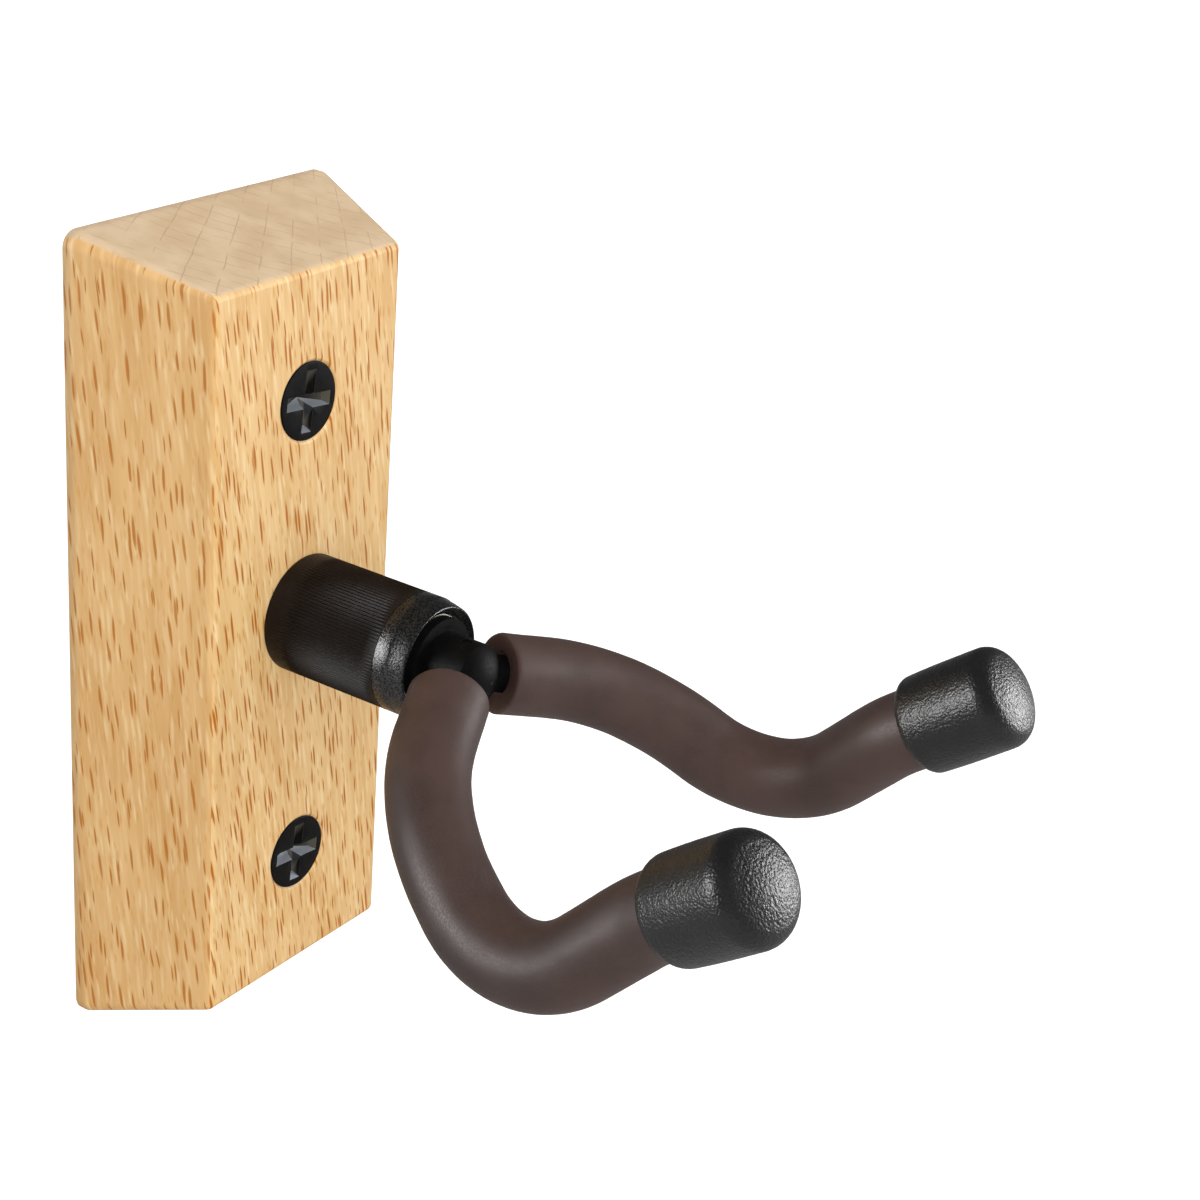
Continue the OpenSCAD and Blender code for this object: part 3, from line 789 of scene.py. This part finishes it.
def rubber_cap(name, node, side, material):
    """Pushed-on rubber cap: rolled mouth, slightly barrelled side, round shoulder, domed end, all pebbled."""
    wide = CAP_RADIUS - 0.12 * MM
    length = CAP_LENGTH - 0.05 * MM
    shoulder = 4.3 * MM
    dome = 25 * MM
    lean = math.asin((wide - shoulder) / (dome - shoulder))
    mouth_radius = SLEEVE_RADIUS + 0.3 * MM
    mouth = 1.9 * MM
    grain = 0.25 * MM
    segments = 270
    cell = 0.66 * MM
    relief = 0.045 * MM
    bore = SLEEVE_RADIUS + 0.03 * MM
    floor = CAP_LENGTH - CAP_WALL
    rod_hole_end = CAP_LENGTH - 4 * MM

    def side_radius(along):
        return wide - 0.3 * MM * (1 - min(1.0, along / (0.5 * length))) ** 2

    def spaced(points):
        """The same line with points no further apart than the grain."""
        out = [points[0]]
        for a, b in zip(points, points[1:]):
            parts = max(1, round(math.dist(a, b) / grain))
            out += [(a[0] + (b[0] - a[0]) * k / parts, a[1] + (b[1] - a[1]) * k / parts)
                    for k in range(1, parts + 1)]
        return out

    middle = (wide - shoulder, length - dome + (dome - shoulder) * math.cos(lean))
    outline = [(dome * math.sin(lean * k / 12), length - dome + dome * math.cos(lean * k / 12))
               for k in range(0, 12)]
    outline += arc(middle, shoulder, 90 - math.degrees(lean), 0, 22)
    outline += [(side_radius(along), along)
                for along in [middle[1] + (mouth - middle[1]) * k / 12 for k in range(1, 13)]]
    rim = side_radius(mouth)
    outline += [(mouth_radius + (rim - mouth_radius) * math.cos(t), mouth - mouth * math.sin(t))
                for t in [math.radians(10 * k) for k in range(1, 10)]]
    outline = spaced(outline)
    profile = outline + [(bore, 0.25 * MM), (bore, floor * 0.5), (bore, floor), (ROD_RADIUS, floor),
                         (ROD_RADIUS, rod_hole_end), (0, rod_hole_end)]
    along_arm = arm_axis(side)
    cap = turned(name, profile, lambda along: along_arm(CAP_START + along), segments)
    skin = 1 + (len(outline) - 1) * segments
    places = [v.co.copy() for v in cap.data.vertices]
    ways = [v.normal.copy() for v in cap.data.vertices]
    for index in range(skin):
        distances, _ = noise.voronoi(places[index] / cell)
        pebble = 0.3 - 1.6 * distances[0] ** 2
        places[index] += ways[index] * relief * pebble
    cap.data.vertices.foreach_set("co", [c for place in places for c in place])
    cap.data.update()
    finish_shading(cap, 60)
    paint(cap, material)
    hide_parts(node)
    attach(cap, "yoke")


# ---------------------------------------------------------------- build

wooden_block(beech())
screw_black = black_screw()
screw_turn = math.radians(-6)
for screw_name in ("upper_mounting_screw", "lower_mounting_screw"):
    mounting_screw(screw_name, screw_turn, screw_black)
ribbed_housing(housing_black())
collar_ring(collar_black())
foam_skin = foam()
rubber = cap_rubber()
for side_name, side in (("left", -1), ("right", 1)):
    foam_sleeve(side_name + "_foam_tube", side_name + "_foam_sleeve", side, foam_skin)
    rubber_cap(side_name + "_rubber_cap", side_name + "_end_cap", side, rubber)

steel = bright_steel()
rod_black = satin_black("rod black")
bronze = plain_material("bronze", srgb(150, 110, 62), srgb(186, 142, 84), 0.42, 0.9)
natural_nylon = plain_material("natural nylon", srgb(206, 204, 194), srgb(224, 222, 212), 0.5)
blue_nylon = plain_material("blue nylon", srgb(34, 66, 150), srgb(48, 84, 172), 0.45)
for names, material in (
    (("locating_pins", "stop_pin", "plain_washer", "disc_spring", "lock_nut"), steel),
    (("pivot_spindle", "yoke_rod", "rod_pin"), rod_black),
    (("rear_bush", "front_bush"), bronze),
    (("thrust_washer",), natural_nylon),
    (("nut_insert",), blue_nylon),
):
    for name in names:
        paint(frame["nodes"][name], material)

# ---------------------------------------------------------------- floor, light and camera

def soft_light(name, azimuth, elevation, size, power, fill):
    """Square soft box aimed at the hanger. Azimuth 0 is in front of it and 90 on its right.
    A fill light brightens without a shadow and doesn't show in reflections. The others show in them alone."""
    middle = Vector((0, -0.08, 0))
    distance = 1.4
    azimuth, elevation = math.radians(azimuth), math.radians(elevation)
    way = Vector((math.sin(azimuth) * math.cos(elevation), -math.cos(azimuth) * math.cos(elevation),
                  math.sin(elevation)))
    light = bpy.data.lights.new(name, "AREA")
    light.size = size
    light.energy = power
    light.use_shadow = not fill
    obj = bpy.data.objects.new(name, light)
    scene.collection.objects.link(obj)
    obj.location = middle + way * distance
    obj.rotation_euler = way.to_track_quat("Z", "Y").to_euler()
    obj.visible_glossy = not fill
    obj.visible_diffuse = fill


def pale_floor():
    """White as the camera sees it, and a softer grey to the light that bounces off it."""
    material = Material("floor")
    camera_ray = material.add("ShaderNodeLightPath").outputs["Is Camera Ray"]
    material.shade(Base_Color=srgb(196, 196, 196), Roughness=0.9, Specular_IOR_Level=0.0,
                   Emission_Color=(1, 1, 1, 1), Emission_Strength=material.math("MULTIPLY", camera_ray, 0.85))
    reach = 6.0
    height = cad_box[0][2] - 0.5 * MM
    corners = [(x * reach, y * reach, height) for x, y in ((-1, -1), (1, -1), (1, 1), (-1, 1))]
    floor = mesh_object("floor", corners, [(0, 1, 2, 3)])
    paint(floor, material)


def studio():
    """Soft lights round the hanger, in a world that is white to the camera and dim to everything else."""
    soft_light("right shine", azimuth=50, elevation=8, size=0.55, power=17, fill=False)
    soft_light("left shine", azimuth=-125, elevation=12, size=0.6, power=20, fill=False)
    soft_light("right fill", azimuth=62, elevation=38, size=0.45, power=2, fill=True)
    soft_light("left fill", azimuth=-45, elevation=20, size=0.9, power=10, fill=True)
    soft_light("front fill", azimuth=-12, elevation=12, size=1.5, power=8.9, fill=True)
    soft_light("top fill", azimuth=0, elevation=78, size=1.5, power=9.2, fill=True)
    soft_light("back fill", azimuth=150, elevation=12, size=1.2, power=8, fill=True)
    world = bpy.data.worlds.new("studio")
    world.use_nodes = True
    nodes, links = world.node_tree.nodes, world.node_tree.links
    background = nodes["Background"]
    background.inputs["Color"].default_value = (1, 1, 1, 1)
    ray = nodes.new("ShaderNodeLightPath").outputs
    dim = 0.12
    steps = []
    for kind, extra in (("Is Camera Ray", 1 - dim), ("Is Diffuse Ray", 0.08)):
        step = nodes.new("ShaderNodeMath")
        step.operation = "MULTIPLY_ADD"
        links.new(ray[kind], step.inputs[0])
        step.inputs[1].default_value = extra
        step.inputs[2].default_value = dim
        steps.append(step)
    links.new(steps[0].outputs[0], steps[1].inputs[2])
    links.new(steps[1].outputs[0], background.inputs["Strength"])
    scene.world = world
    scene.view_settings.view_transform = "Standard"


def photo_camera():
    """Camera at the photograph's viewing angle, aimed a little up and to the right of the yoke's middle."""
    azimuth, elevation, roll = (math.radians(a) for a in (-57.77, 24.31, 4.79))
    distance = 0.48
    aim_right, aim_up = 0.0228, 0.01656
    sensor_width, lens = 36, 70.76
    clip_start = 0.01
    back = Vector((math.sin(azimuth) * math.cos(elevation), -math.cos(azimuth) * math.cos(elevation),
                   math.sin(elevation)))
    right = Vector((math.cos(azimuth), math.sin(azimuth), 0))
    up = back.cross(right)
    right, up = (right * math.cos(roll) + up * math.sin(roll), up * math.cos(roll) - right * math.sin(roll))
    aim = Vector((0, -0.08, SWIVEL.z)) + right * aim_right + up * aim_up
    data = bpy.data.cameras.new("camera")
    data.sensor_width = sensor_width
    data.lens = lens
    data.clip_start = clip_start
    camera = bpy.data.objects.new("camera", data)
    scene.collection.objects.link(camera)
    place = aim + back * distance
    camera.matrix_world = Matrix((
        (right.x, up.x, back.x, place.x),
        (right.y, up.y, back.y, place.y),
        (right.z, up.z, back.z, place.z),
        (0, 0, 0, 1),
    ))
    scene.camera = camera


pale_floor()
studio()
photo_camera()

bpy.context.view_layer.update()
